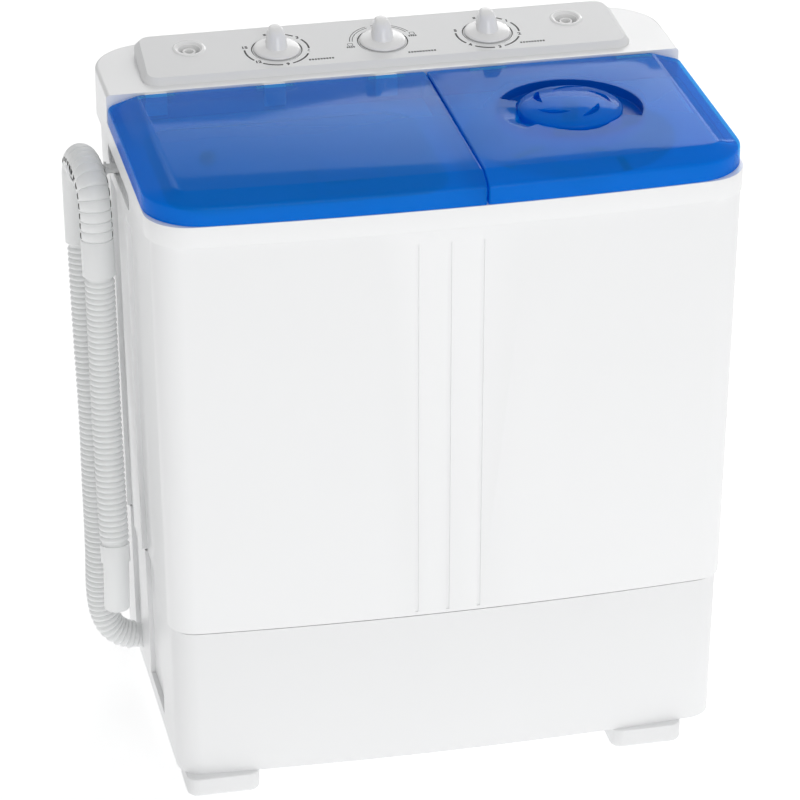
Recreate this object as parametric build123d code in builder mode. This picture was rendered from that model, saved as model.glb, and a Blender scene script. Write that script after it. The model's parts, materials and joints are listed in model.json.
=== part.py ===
from build123d import *
import os
from math import atan, pi, radians, tan

os.makedirs("parts", exist_ok=True)

# A twin tub washer: wash tub on the left, spin basket on the right, controls along the back.
# Millimetres. X runs left to right, Y front to back, Z up; the origin is the middle of the
# footprint, on the floor.

# ---- Driving dimensions -------------------------------------------------------------------

width = 600.0  # across the rim
depth = 416.8  # from the middle of the bowed front to the back
front_bow = 11.9  # how far the front bulges between its corners
lid_front_corner = 55.0  # plan radius of the front corners of the lids
rim_corner = 45.0  # of the rim
body_corner = 34.0  # and of the cabinet and the base
back_corner = 62.0  # plan radius of the back corners
side_taper = 0.0154  # each side leans in by this much per mm downwards
front_taper = 0.0077  # and the front by this much

foot_height = 22.0
groove_height = 190.5  # seam between the base and the cabinet
rim_bottom = 621.2
rim_top = 643.0
lid_bottom = 643.7
lid_edge = 663.0  # top of the lids' upright skirt
lid_top = 672.7
lid_back = 70.8
housing_front = 73.0

cabinet_inset = 4.0  # the cabinet sits this far inside the rim
base_inset = 7.0
wall = 2.5
running = 0.05  # radial clearance of a running fit

panel_slope = atan(0.117)  # the control panel rises towards the back
panel_centre = (-2.0, 131.3, 684.0)
knob_pitch = 111.4
inlet_pitch = 400.0

wash_axis = (-134.0, -62.0)
spin_axis = (150.0, -56.0)
motor_axis = (-130.0, 100.0)
drain_axis = (12.0, 84.0)

hose_diameter = 31.0
cuff_diameter = 34.0


def write(piece, label):
    """Name a finished piece and save it as its own STEP file."""
    piece.part.label = label
    export_step(piece.part, f"parts/{label}.step")


def at(axis, height):
    """Level plane with its origin on an upright axis."""
    return Plane((axis[0], axis[1], height))


def half_width(height, inset):
    """Half the body's width at one height."""
    return width / 2 - inset - side_taper * (rim_bottom - height)


def front_line(height, inset):
    """Y of the middle of the body's front at one height."""
    return -depth / 2 + inset + front_taper * (rim_bottom - height)


def footprint(height, side, front, back, front_radius, back_radius):
    """Level outline: bowed front, straight sides and back, four rounded corners."""
    with BuildSketch(Plane.XY.offset(height)) as outline:
        with BuildLine():
            ThreePointArc((-side, front + front_bow), (0, front), (side, front + front_bow))
            Polyline((side, front + front_bow), (side, back), (-side, back), (-side, front + front_bow))
        make_face()
        fillet(outline.vertices().group_by(Axis.Y)[0], front_radius)
        fillet(outline.vertices().group_by(Axis.Y)[-1], back_radius)
    return outline.sketch


def body_block(low, high, inset, mode):
    """Tapered body between two heights."""
    sections = [
        footprint(
            height,
            half_width(height, inset),
            front_line(height, inset),
            depth / 2 - inset,
            body_corner - inset,
            back_corner - inset,
        )
        for height in (low, high)
    ]
    loft(sections=sections, mode=mode)


def side_recess(low, high, front, back, recess_depth, mode):
    """Shallow channel down the left and right walls that follows their lean."""
    for side in (-1, 1):
        sections = []
        for height in (low, high):
            outer = half_width(height, 0)
            with BuildSketch(Plane.XY.offset(height)) as band:
                with Locations((side * (outer - recess_depth / 2), (front + back) / 2)):
                    Rectangle(recess_depth, back - front)
            sections.append(band.sketch)
        loft(sections=sections, mode=mode)


def tube(radius, inner, low, high, axis):
    """Upright round tube."""
    with BuildSketch(at(axis, low)) as ring:
        Circle(radius)
        if inner:
            Circle(inner, mode=Mode.SUBTRACT)
    extrude(ring.sketch, amount=high - low)


def bore(radius, low, high, axis):
    """Upright round hole."""
    with BuildSketch(at(axis, low)) as disc:
        Circle(radius)
    extrude(disc.sketch, amount=high - low, mode=Mode.SUBTRACT)


def arc_radii(points):
    """Largest arc that each corner's two runs leave room for."""
    radii = []
    for before, corner, after in zip(points, points[1:], points[2:]):
        arriving = Vector(*corner) - Vector(*before)
        leaving = Vector(*after) - Vector(*corner)
        half_turn = radians(arriving.get_angle(leaving)) / 2
        radii.append(0.45 * min(arriving.length, leaving.length) / tan(half_turn))
    return radii


def pipe(points, outer, inner):
    """Pipe along straight runs joined by tangent arcs; returns its centre line."""
    with BuildLine() as route:
        FilletPolyline(*points, radius=arc_radii(points))
    with BuildSketch(Plane(route.line @ 0, z_dir=route.line % 0)) as section:
        Circle(outer)
        if inner:
            Circle(inner, mode=Mode.SUBTRACT)
    sweep(section.sketch, path=route.line)
    return route.wire()


# ---- Cabinet ------------------------------------------------------------------------------

side_channels = ((-91.0, -4.0), (49.0, 96.0))  # Y spans of the recessed bands on each side
channel_depth = 5.0
cabinet_top = rim_bottom
grip_centre = (34.0, 600.0)  # Y and Z of the hand grip in each side
grip_length = 138.0
grip_height = 22.0
groove_spacing = 33.3
groove_middle = -7.1
window = (360.0, 330.0, 400.0)  # width, height and middle height of the service opening
back_face = depth / 2 - cabinet_inset


def screw_pattern(plane, radius):
    """Discs on the four screw places around the service opening."""
    with BuildSketch(plane) as places:
        with Locations((0, window[2])):
            with GridLocations(window[0] + 22, window[1] + 22, 2, 2):
                Circle(radius)
    return places.sketch


with BuildPart() as cabinet:
    body_block(groove_height, cabinet_top, cabinet_inset, Mode.ADD)
    for low_y, high_y in side_channels:
        side_recess(groove_height, 575, low_y, high_y, cabinet_inset + channel_depth, Mode.SUBTRACT)
    for step in (-1, 0, 1):
        for height in (groove_height + 4, 606.0):
            narrowing = half_width(height, cabinet_inset) / (width / 2)
            with BuildSketch(Plane.XY.offset(height)):
                with Locations(
                    ((groove_middle + step * groove_spacing) * narrowing, front_line(height, cabinet_inset))
                ):
                    Rectangle(3.4, 2.6)
        loft(mode=Mode.SUBTRACT)
    with Locations((0, grip_centre[0], grip_centre[1])):
        Box(width, grip_length - grip_height, grip_height, mode=Mode.SUBTRACT)
        with Locations(
            Location((0, -(grip_length - grip_height) / 2, 0), (0, 90, 0)),
            Location((0, (grip_length - grip_height) / 2, 0), (0, 90, 0)),
        ):
            Cylinder(grip_height / 2, width, mode=Mode.SUBTRACT)
    with Locations((0, depth / 2, window[2])):
        Box(window[0], 60, window[1], mode=Mode.SUBTRACT)
    extrude(screw_pattern(Plane.XZ.offset(-back_face), 2.1), amount=10, mode=Mode.SUBTRACT)
with BuildPart() as cabinet_cavity:
    body_block(groove_height, cabinet_top, cabinet_inset + wall, Mode.ADD)
    for low_y, high_y in side_channels:
        side_recess(
            groove_height,
            575 + wall,
            low_y - wall,
            high_y + wall,
            cabinet_inset + channel_depth + wall,
            Mode.SUBTRACT,
        )
with BuildPart() as cabinet_shell:
    add(cabinet.part)
    add(cabinet_cavity.part, mode=Mode.SUBTRACT)
write(cabinet_shell, "cabinet_shell")

grip_depth = 15.0
grip_mouth = half_width(grip_centre[1] - grip_height, cabinet_inset + wall) - 0.1
with BuildPart() as grip_cups:
    for side in (-1, 1):
        with BuildSketch(Plane.YZ.offset(side * grip_mouth)):
            with Locations(grip_centre):
                SlotOverall(grip_length + 2 * wall, grip_height + 2 * wall)
        extrude(amount=-side * grip_depth)
        with BuildSketch(Plane.YZ.offset(side * grip_mouth)):
            with Locations(grip_centre):
                SlotOverall(grip_length, grip_height)
        extrude(amount=-side * (grip_depth - wall), mode=Mode.SUBTRACT)
write(grip_cups, "grip_cups")

base_top = groove_height - 2.5
with BuildPart() as base_outer:
    body_block(foot_height, base_top, base_inset, Mode.ADD)
    for low_y, high_y in side_channels:
        side_recess(40, base_top, low_y, high_y, base_inset + channel_depth, Mode.SUBTRACT)
with BuildPart() as base_cavity:
    body_block(foot_height + 3, base_top, base_inset + wall, Mode.ADD)
    for low_y, high_y in side_channels:
        side_recess(
            40 - wall, base_top, low_y - wall, high_y + wall, base_inset + channel_depth + wall, Mode.SUBTRACT
        )
gland_place = (220.0, 84.0)  # X and Z of the mains cable's way out of the base
outlet_point = Vector(-286.0, 65.0, 47.0)
outlet_direction = Vector(-1, 0, 0.2).normalized()
outlet_plane = Plane(outlet_point, x_dir=(0, 1, 0), z_dir=outlet_direction)
outlet_inner = 11.0  # how far the hose outlet reaches into the base
outlet_outer = 2.0
with BuildPart() as base_pan:
    add(base_outer.part)
    add(base_cavity.part, mode=Mode.SUBTRACT)
    with BuildSketch(outlet_plane.offset(-40)):
        Circle(13.0)
    extrude(amount=80, mode=Mode.SUBTRACT)
    with BuildSketch(Plane.XZ.offset(-depth / 2 + 20)):
        with Locations(gland_place):
            Circle(9.2)
    extrude(amount=-20, mode=Mode.SUBTRACT)
write(base_pan, "base_pan")

foot_width = 76.0
with BuildPart() as feet:
    for foot_x in (-239.5, 210.0):
        for front_y, back_y in ((-197.0, -140.0), (130.0, 192.0)):
            with BuildSketch():
                with Locations((foot_x, (front_y + back_y) / 2)):
                    RectangleRounded(foot_width, back_y - front_y, 12)
            extrude(amount=foot_height)
    fillet(feet.faces().group_by(Axis.Z)[0].edges(), 5)
write(feet, "feet")

with BuildPart() as back_cover:
    with Locations((0, back_face + 0.6, window[2])):
        Box(window[0] + 40, 1.2, window[1] + 40)
    fillet(back_cover.edges().filter_by(Axis.Y), 10)
    with BuildSketch(Plane.XZ.offset(-back_face - 2)):
        with Locations((-90, window[2]), (90, window[2])):
            with GridLocations(1, 22, 1, 8):
                SlotOverall(90, 6)
    extrude(amount=4, mode=Mode.SUBTRACT)
    extrude(screw_pattern(Plane.XZ.offset(-back_face - 2), 2.2), amount=4, mode=Mode.SUBTRACT)
write(back_cover, "back_cover")

with BuildPart() as back_screws:
    extrude(screw_pattern(Plane.XZ.offset(-back_face - 1.2), 4), amount=-2.2)
    extrude(screw_pattern(Plane.XZ.offset(-back_face - 1.2), 2), amount=9)
write(back_screws, "back_screws")

# ---- Top cover and control panel ----------------------------------------------------------

wash_opening = (-273.0, 7.0, -171.0, 47.0)  # low X, high X, low Y, high Y
throat_radius = 106.0
throat_floor = 600.0
hinge_axis = (67.5, 668.5)  # Y and Z of both lids' hinge
hinge_places = {"wash": (-250.0, -128.0, -12.0), "spin": (95.0, 250.0)}
lug_half = 11.0
pin_radius = 2.5
all_hinges = hinge_places["wash"] + hinge_places["spin"]

with BuildPart() as top_cover:
    outline = footprint(rim_bottom, width / 2, -depth / 2, depth / 2, rim_corner, back_corner)
    extrude(outline, amount=lid_top - rim_bottom)
    with Locations((0, housing_front - depth, rim_top)):
        Box(width, 2 * depth, 60, align=(Align.CENTER, Align.CENTER, Align.MIN), mode=Mode.SUBTRACT)
    fillet(top_cover.faces().sort_by(Axis.Z)[-1].edges().sort_by(Axis.Y)[1:], 4)
    underside = footprint(
        rim_bottom, width / 2 - 3, 3 - depth / 2, depth / 2 - 3, rim_corner - 3, back_corner - 3
    )
    extrude(underside, amount=rim_top - 3 - rim_bottom, mode=Mode.SUBTRACT)
    with BuildSketch(Plane.XY.offset(rim_top - 4)):
        with Locations((0, (housing_front + depth / 2) / 2)):
            RectangleRounded(width - 12, depth / 2 - housing_front - 12, 50)
    extrude(amount=lid_top - 2.5 - rim_top + 4, mode=Mode.SUBTRACT)
    with BuildSketch(Plane.XY.offset(rim_bottom)):
        with Locations(
            ((wash_opening[0] + wash_opening[1]) / 2, (wash_opening[2] + wash_opening[3]) / 2)
        ):
            RectangleRounded(
                wash_opening[1] - wash_opening[0], wash_opening[3] - wash_opening[2], 42
            )
    extrude(amount=30, mode=Mode.SUBTRACT)
    tube(throat_radius + wall, 0, throat_floor, rim_top, spin_axis)
    bore(throat_radius, throat_floor + 3, rim_top, spin_axis)
    bore(throat_radius - 7, throat_floor, throat_floor + 3, spin_axis)
    with BuildSketch(Plane.XY.offset(lid_top - 6)):
        with Locations((panel_centre[0], 140)):
            Rectangle(460, 74)
    extrude(amount=10, mode=Mode.SUBTRACT)
    with BuildSketch(Plane.YZ) as lug:
        with Locations(hinge_axis):
            Circle(4)
        with Locations((hinge_axis[0] + 1, hinge_axis[1] - 9)):
            Rectangle(10, 18)
        with Locations((hinge_axis[0] + 3, hinge_axis[1] - 3)):
            Rectangle(6, 9)
    for place in all_hinges:
        extrude(lug.sketch.moved(Location((place, 0, 0))), amount=lug_half, both=True)
    with BuildSketch(Plane.YZ.offset(-width / 2)):
        with Locations(hinge_axis):
            Circle(pin_radius)
    extrude(amount=width, mode=Mode.SUBTRACT)
write(top_cover, "top_cover")

with BuildPart() as hinge_pins:
    with BuildSketch(Plane.YZ) as pin:
        with Locations(hinge_axis):
            Circle(pin_radius)
    for place in all_hinges:
        extrude(pin.sketch.moved(Location((place, 0, 0))), amount=lug_half + 8, both=True)
write(hinge_pins, "hinge_pins")

panel_plane = Plane(
    panel_centre, x_dir=(1, 0, 0), z_dir=(0, -tan(panel_slope), 1)
)
knob_places = [(-knob_pitch, 0), (0, 0), (knob_pitch, 0)]
inlet_places = [(-inlet_pitch / 2, 16.5), (inlet_pitch / 2, 16.5)]
panel_front = 86.5
panel_back = 180.0
panel_bevel = 5.6


def panel_block(inset, mode):
    """Sloping panel, cut level at its foot, with a bevel along its upper edges."""
    half = 257.0 - inset
    with BuildSketch(Plane.XY.offset(lid_top)) as foot_outline:
        with BuildLine():
            Polyline(
                (panel_centre[0] - half, panel_front + inset),
                (panel_centre[0] + half, panel_front + inset),
                (panel_centre[0] + half - 4, panel_back + 6 - inset),
                (panel_centre[0] - half + 4, panel_back + 6 - inset),
                close=True,
            )
        make_face()
        fillet(foot_outline.vertices(), 17 - inset)
    extrude(foot_outline.sketch, amount=40, mode=mode)


with BuildPart() as control_panel:
    panel_block(0, Mode.ADD)
    split(bisect_by=panel_plane, keep=Keep.BOTTOM)
    chamfer(control_panel.faces().sort_by(Axis.Z)[-1].edges(), panel_bevel)
with BuildPart() as panel_cavity:
    panel_block(wall, Mode.ADD)
    split(bisect_by=panel_plane.offset(-wall - 0.5), keep=Keep.BOTTOM)
    chamfer(panel_cavity.faces().sort_by(Axis.Z)[-1].edges(), panel_bevel - wall)
with BuildPart() as panel_shell:
    add(control_panel.part)
    add(panel_cavity.part, mode=Mode.SUBTRACT)
    with BuildSketch(panel_plane.offset(-0.8)):
        with Locations(knob_places):
            Circle(26.5)
    extrude(amount=3, mode=Mode.SUBTRACT)
    with BuildSketch(panel_plane.offset(-6)):
        with Locations(knob_places):
            Circle(4)
        with Locations(inlet_places):
            Circle(13.5)
    extrude(amount=10, mode=Mode.SUBTRACT)
write(panel_shell, "control_panel")


def discs(places, height, radius):
    """Discs on chosen places of the panel, at a height above its face."""
    with BuildSketch(panel_plane.offset(height)) as found:
        with Locations(places):
            Circle(radius)
    return found.sketch


with BuildPart() as water_inlets:
    extrude(discs(inlet_places, -22, 13.4), amount=21)
    extrude(discs(inlet_places, -11, 11.4), amount=12, mode=Mode.SUBTRACT)
    extrude(discs(inlet_places, -32, 6.9), amount=29)
    extrude(discs(inlet_places, -32, 4.6), amount=34, mode=Mode.SUBTRACT)
write(water_inlets, "water_inlets")

# ---- Tubs ---------------------------------------------------------------------------------

tub_floor = 285.0
tub_rim = 639.0
tub_size = (280.0, 218.0)  # inside the wash tub at its rim
tub_draft = 7.0  # how much each wall leans in by the floor
well_radius = 98.0
well_floor = 271.0
tub_centre = (-133.0, -62.0)
drain_port = (-35.0, 8.0)
overflow_x = -60.0
inlet_height = 606.0
spin_port = (80.0, 20.0)
outer_radius = 122.0
outer_floor = 299.0


def tub_section(height, shrink, radius):
    """Rounded rectangle of the wash tub at one height."""
    with BuildSketch(at(tub_centre, height)) as level:
        RectangleRounded(tub_size[0] - 2 * shrink, tub_size[1] - 2 * shrink, radius)
    return level.sketch


with BuildPart() as wash_tub:
    loft([tub_section(tub_floor - 3, tub_draft - wall, 44), tub_section(tub_rim, -wall, 44)])
    with BuildSketch(at(tub_centre, tub_rim - 3)):
        RectangleRounded(tub_size[0] + 18, tub_size[1] + 12, 46)
    extrude(amount=3)
    tube(well_radius + 3, 0, well_floor - 3, tub_floor, wash_axis)
    tube(15, 0, 258, tub_floor, drain_port)
    inside = [tub_section(tub_floor, tub_draft, 42), tub_section(tub_rim, 0, 42)]
    loft(inside, mode=Mode.SUBTRACT)
    bore(well_radius, well_floor, tub_floor, wash_axis)
    bore(18, well_floor - 3, well_floor, wash_axis)
    bore(12, 258, tub_floor, drain_port)
    with Locations(
        Location((overflow_x, 50, 540), (90, 0, 0)),
        Location((-202, 50, inlet_height), (90, 0, 0)),
    ):
        Cylinder(9, 30, mode=Mode.SUBTRACT)
write(wash_tub, "wash_tub")

with BuildPart() as lint_filter:
    with Locations((overflow_x, 37.5, 500)):
        Box(64, 6, 200)
    fillet(lint_filter.edges().filter_by(Axis.Y), 10)
    with BuildSketch(Plane.XZ.offset(-60)):
        with Locations((overflow_x, 500)):
            with GridLocations(1, 12, 1, 13):
                SlotOverall(46, 5)
    extrude(amount=60, mode=Mode.SUBTRACT)
write(lint_filter, "lint_filter")

with BuildPart() as spin_outer_tub:
    tube(outer_radius, 0, outer_floor - 3, tub_rim, spin_axis)
    tube(outer_radius + 3, 0, tub_rim - 3, tub_rim, spin_axis)
    bore(outer_radius - wall, outer_floor, tub_rim, spin_axis)
    bore(30, outer_floor - 3, outer_floor, spin_axis)
    with Locations(Location((198, 58, inlet_height), (90, 0, 0))):
        Cylinder(9, 40, mode=Mode.SUBTRACT)
    bore(9, outer_floor - 3, outer_floor, spin_port)
    tube(11, 9, outer_floor - 25, outer_floor - 3, spin_port)
write(spin_outer_tub, "spin_outer_tub")

with BuildPart() as spin_inner_cover:
    tube(throat_radius - 2, 0, throat_floor + 3, throat_floor + 6, spin_axis)
    tube(throat_radius - 2, throat_radius - 5, throat_floor + 6, throat_floor + 11, spin_axis)
    with BuildSketch(at(spin_axis, throat_floor + 3)):
        with PolarLocations(58, 6):
            SlotOverall(44, 9, rotation=90)
    extrude(amount=3, mode=Mode.SUBTRACT)
    tube(16, 0, throat_floor + 6, throat_floor + 18, spin_axis)
write(spin_inner_cover, "spin_inner_cover")

# ---- Wash drive ---------------------------------------------------------------------------

belt_height = 228.0
pulley_radius = 73.0  # where the belt runs
motor_pulley_radius = 20.0
shaft_radius = 6.0

with BuildPart() as pulsator_bearing:
    tube(45, shaft_radius + running, 264, well_floor - 3, wash_axis)
    tube(17.8, shaft_radius + running, 243, well_floor + 1, wash_axis)
write(pulsator_bearing, "pulsator_bearing")

with BuildPart() as pulsator_shaft:
    tube(shaft_radius, 0, belt_height - 10, tub_floor + 5, wash_axis)
write(pulsator_shaft, "pulsator_shaft")

with BuildPart() as pulsator:
    with BuildSketch(Plane.XZ.offset(-wash_axis[1])):
        with BuildLine():
            Line((wash_axis[0], 275), (wash_axis[0] + 92, 275))
            Line((wash_axis[0] + 92, 275), (wash_axis[0] + 92, 279))
            Spline(
                (wash_axis[0] + 92, 279),
                (wash_axis[0] + 60, 286),
                (wash_axis[0] + 28, 297),
                (wash_axis[0], 301),
                tangents=((-1, 0.1), (-1, 0)),
            )
            Line((wash_axis[0], 301), (wash_axis[0], 275))
        make_face()
    revolve(axis=Axis((wash_axis[0], wash_axis[1], 0), (0, 0, 1)))
    with BuildSketch(at(wash_axis, 279)):
        with PolarLocations(50, 5):
            SlotOverall(74, 12)
    extrude(amount=19)
    bore(shaft_radius, 275, tub_floor + 5, wash_axis)
write(pulsator, "pulsator")


def pulley(radius, hub_bore, thickness, height, axis):
    """Flat pulley with a groove for the belt."""
    tube(radius + 5, 0, height - thickness / 2, height + thickness / 2, axis)
    with BuildSketch(at(axis, height - 4.5)) as groove:
        Circle(radius + 6)
        Circle(radius - 4.5, mode=Mode.SUBTRACT)
    extrude(groove.sketch, amount=9, mode=Mode.SUBTRACT)
    bore(hub_bore, height - thickness, height + thickness, axis)


with BuildPart() as pulsator_pulley:
    pulley(pulley_radius, shaft_radius, 15, belt_height, wash_axis)
    with BuildSketch(at(wash_axis, belt_height - 8)):
        with PolarLocations(41, 6):
            Circle(14)
    extrude(amount=16, mode=Mode.SUBTRACT)
write(pulsator_pulley, "pulsator_pulley")

with BuildPart() as motor_pulley:
    pulley(motor_pulley_radius, 5, 15, belt_height, motor_axis)
write(motor_pulley, "motor_pulley")

with BuildPart() as drive_belt:
    with BuildSketch(Plane.XY.offset(belt_height - 4)):
        with Locations(wash_axis):
            Circle(pulley_radius + 3)
        with Locations(motor_axis):
            Circle(motor_pulley_radius + 3)
        make_hull()
    extrude(amount=8)
    with BuildSketch(Plane.XY.offset(belt_height - 4)):
        with Locations(wash_axis):
            Circle(pulley_radius - 4)
        with Locations(motor_axis):
            Circle(motor_pulley_radius - 4)
        make_hull()
    extrude(amount=8, mode=Mode.SUBTRACT)
write(drive_belt, "drive_belt")


def motor_can(outer, low, high, shaft, axis):
    """Motor housing with its rotor space and a shaft hole through the top cap."""
    tube(outer, 0, low, high, axis)
    bore(outer - 24, low + 8, high - 8, axis)
    bore(shaft, high - 8, high, axis)
    bore(shaft, low, low + 8, axis)


with BuildPart() as wash_motor:
    motor_can(62, 91, 200, 5 + running, motor_axis)
write(wash_motor, "wash_motor")

with BuildPart() as wash_rotor:
    tube(36, 0, 104, 187, motor_axis)
    tube(5, 0, 92, belt_height + 9, motor_axis)
write(wash_rotor, "wash_rotor")

with BuildPart() as wash_motor_stand:
    with BuildSketch(at(motor_axis, 88)):
        RectangleRounded(150, 150, 12)
        Circle(20, mode=Mode.SUBTRACT)
    extrude(amount=3)
    with BuildSketch(at(motor_axis, foot_height + 3)):
        with GridLocations(126, 126, 2, 2):
            Circle(9)
    extrude(amount=88 - foot_height - 3)
write(wash_motor_stand, "wash_motor_stand")

# ---- Spin drive ---------------------------------------------------------------------------

basket_top = 592.0
basket_radius = 104.0
basket_floor = 322.0
drum_height = 246.0
drum_radius = 45.0

with BuildPart() as spin_basket:
    tube(basket_radius, 0, basket_floor, basket_top, spin_axis)
    fillet(spin_basket.faces().sort_by(Axis.Z)[0].edges(), 2.4)
    bore(basket_radius - 1.6, basket_floor + 3, basket_top, spin_axis)
    tube(32, 0, basket_floor, basket_floor + 26, spin_axis)
    bore(shaft_radius, basket_floor, basket_floor + 20, spin_axis)
    for height in range(350, 560, 36):
        with BuildSketch(at(spin_axis, height)) as ring:
            with PolarLocations(basket_radius, 18):
                Rectangle(10, 5)
        extrude(amount=9, mode=Mode.SUBTRACT)
write(spin_basket, "spin_basket")

with BuildPart() as balance_ring:
    tube(basket_radius - 1.7, basket_radius - 14, basket_top - 22, basket_top - 1, spin_axis)
write(balance_ring, "balance_ring")

with BuildPart() as spin_shaft:
    tube(shaft_radius, 0, 104, basket_floor + 20, spin_axis)
write(spin_shaft, "spin_shaft")

with BuildPart() as spin_seal:
    tube(34, 0, outer_floor - 10, outer_floor - 3, spin_axis)
    tube(29.8, 0, outer_floor - 10, outer_floor, spin_axis)
    tube(13, 0, outer_floor - 30, outer_floor + 12, spin_axis)
    bore(shaft_radius + running, outer_floor - 31, outer_floor + 13, spin_axis)
write(spin_seal, "spin_seal")

with BuildPart() as brake_drum:
    tube(drum_radius, 0, drum_height - 10, drum_height + 10, spin_axis)
    bore(drum_radius - 5, drum_height - 4, drum_height + 10, spin_axis)
    tube(13, 0, drum_height - 14, drum_height + 14, spin_axis)
    bore(shaft_radius, drum_height - 15, drum_height + 15, spin_axis)
write(brake_drum, "brake_drum")

with BuildPart() as spin_motor:
    motor_can(66, 103, 216, shaft_radius + running, spin_axis)
write(spin_motor, "spin_motor")

with BuildPart() as spin_rotor:
    tube(40, shaft_radius, 116, 203, spin_axis)
write(spin_rotor, "spin_rotor")

with BuildPart() as spin_motor_plate:
    with BuildSketch(at(spin_axis, 99)):
        Circle(84)
        Circle(20, mode=Mode.SUBTRACT)
    extrude(amount=4)
write(spin_motor_plate, "spin_motor_plate")

spring_pitch = 7.0
spring_turns = 6
with BuildPart() as suspension_springs:
    for turn in range(spring_turns + 1):
        with BuildSketch(at(spin_axis, 46 + turn * spring_pitch)):
            with PolarLocations(68, 3, start_angle=90):
                Circle(13)
        extrude(amount=3)
    with BuildSketch(at(spin_axis, 46)):
        with PolarLocations(68, 3, start_angle=90):
            Circle(10.5)
    extrude(amount=spring_turns * spring_pitch + 3)
write(suspension_springs, "suspension_springs")

with BuildPart() as spring_seats:
    with BuildSketch(at(spin_axis, foot_height + 3)):
        with PolarLocations(68, 3, start_angle=90):
            Circle(16)
    extrude(amount=46 - foot_height - 3)
    with BuildSketch(at(spin_axis, 49 + spring_turns * spring_pitch)):
        with PolarLocations(68, 3, start_angle=90):
            Circle(15)
    extrude(amount=99 - 49 - spring_turns * spring_pitch)
write(spring_seats, "spring_seats")

brake_pivot = (212.0, -14.0)
with BuildPart() as brake_bracket:
    with BuildSketch(at(spin_axis, 216)):
        Circle(60)
        Circle(22, mode=Mode.SUBTRACT)
        with Locations((brake_pivot[0] - spin_axis[0] - 14, brake_pivot[1] - spin_axis[1] - 8)):
            Rectangle(46, 40)
    extrude(amount=3)
    tube(4, 0, 219, 256, brake_pivot)
    tube(8, 0, 219, drum_height - 6, brake_pivot)
write(brake_bracket, "brake_bracket")

with BuildPart() as brake_lever:
    tube(9, 4 + running, drum_height - 5.5, drum_height + 5.5, brake_pivot)
    with BuildSketch(at(brake_pivot, drum_height - 4)):
        with Locations((-3, -27)):
            Rectangle(9, 38)
        with Locations((16, 0)):
            Rectangle(20, 8)
    extrude(amount=8)
    with BuildSketch(at(brake_pivot, drum_height - 7)):
        with Locations((-11, -42)):
            Rectangle(8, 22)
    extrude(amount=14)
write(brake_lever, "brake_lever")

cable_end = (brake_pivot[0] + 36, brake_pivot[1] + 4, drum_height)
with BuildPart() as brake_cable:
    pipe(
        [
            cable_end,
            (cable_end[0] + 14, 60, drum_height + 20),
            (cable_end[0] + 8, 100, drum_height + 120),
            (252, 100, 560),
            (252, 90, 638),
        ],
        2,
        0,
    )
write(brake_cable, "brake_cable")

# ---- Drain --------------------------------------------------------------------------------

valve_top = 275.0
valve_bottom = 196.0
valve_seat = 214.0
inlet_level = 234.0
port_direction = (Vector(*drain_axis) - Vector(*drain_port)).normalized()
with BuildPart() as drain_valve_body:
    tube(30, 0, valve_bottom, valve_top, drain_axis)
    bore(26, valve_bottom + 3, valve_top, drain_axis)
    tube(26, 12, valve_seat - 3, valve_seat, drain_axis)
    bore(13, valve_bottom, valve_bottom + 3, drain_axis)
    with Locations(Location((drain_axis[0] - 28, drain_axis[1], 252), (0, 90, 0))):
        Cylinder(9, 20, mode=Mode.SUBTRACT)
    with BuildSketch(Plane((*drain_axis, inlet_level), z_dir=-port_direction)):
        Circle(9)
    extrude(amount=40, mode=Mode.SUBTRACT)
    with BuildSketch(Plane((*drain_axis, 224), x_dir=(0, 1, 0), z_dir=(1, -0.4, 0))):
        Circle(9)
    extrude(amount=40, mode=Mode.SUBTRACT)
write(drain_valve_body, "drain_valve_body")

with BuildPart() as drain_valve_cap:
    tube(31, 3 + running, valve_top, valve_top + 3, drain_axis)
    tube(8, 3 + running, valve_top + 3, valve_top + 8, drain_axis)
write(drain_valve_cap, "drain_valve_cap")

with BuildPart() as drain_valve_plug:
    tube(18, 0, valve_seat, valve_seat + 5, drain_axis)
    tube(10, 0, valve_seat + 5, valve_seat + 12, drain_axis)
    bore(3, valve_seat + 4, valve_seat + 12, drain_axis)
write(drain_valve_plug, "drain_valve_plug")

with BuildPart() as drain_valve_stem:
    tube(3, 0, valve_seat + 4, valve_top + 26, drain_axis)
write(drain_valve_stem, "drain_valve_stem")

with BuildPart() as drain_pull_strap:
    with Locations((drain_axis[0], drain_axis[1] + 3.75, (valve_top + 640) / 2 + 6)):
        Box(10, 1.5, 640 - valve_top - 12)
write(drain_pull_strap, "drain_pull_strap")

with BuildPart() as drain_valve_spring:
    tube(7.5, 5, valve_seat + 12, valve_top, drain_axis)
write(drain_valve_spring, "drain_valve_spring")


pipe_end = outlet_point - outlet_direction * outlet_inner
with BuildPart() as drain_pipe:
    pipe(
        [
            (drain_axis[0], drain_axis[1], valve_bottom),
            (drain_axis[0], drain_axis[1], 46),
            tuple(pipe_end - outlet_direction * 12),
            tuple(pipe_end),
        ],
        10.5,
        9.0,
    )
write(drain_pipe, "drain_pipe")

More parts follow.
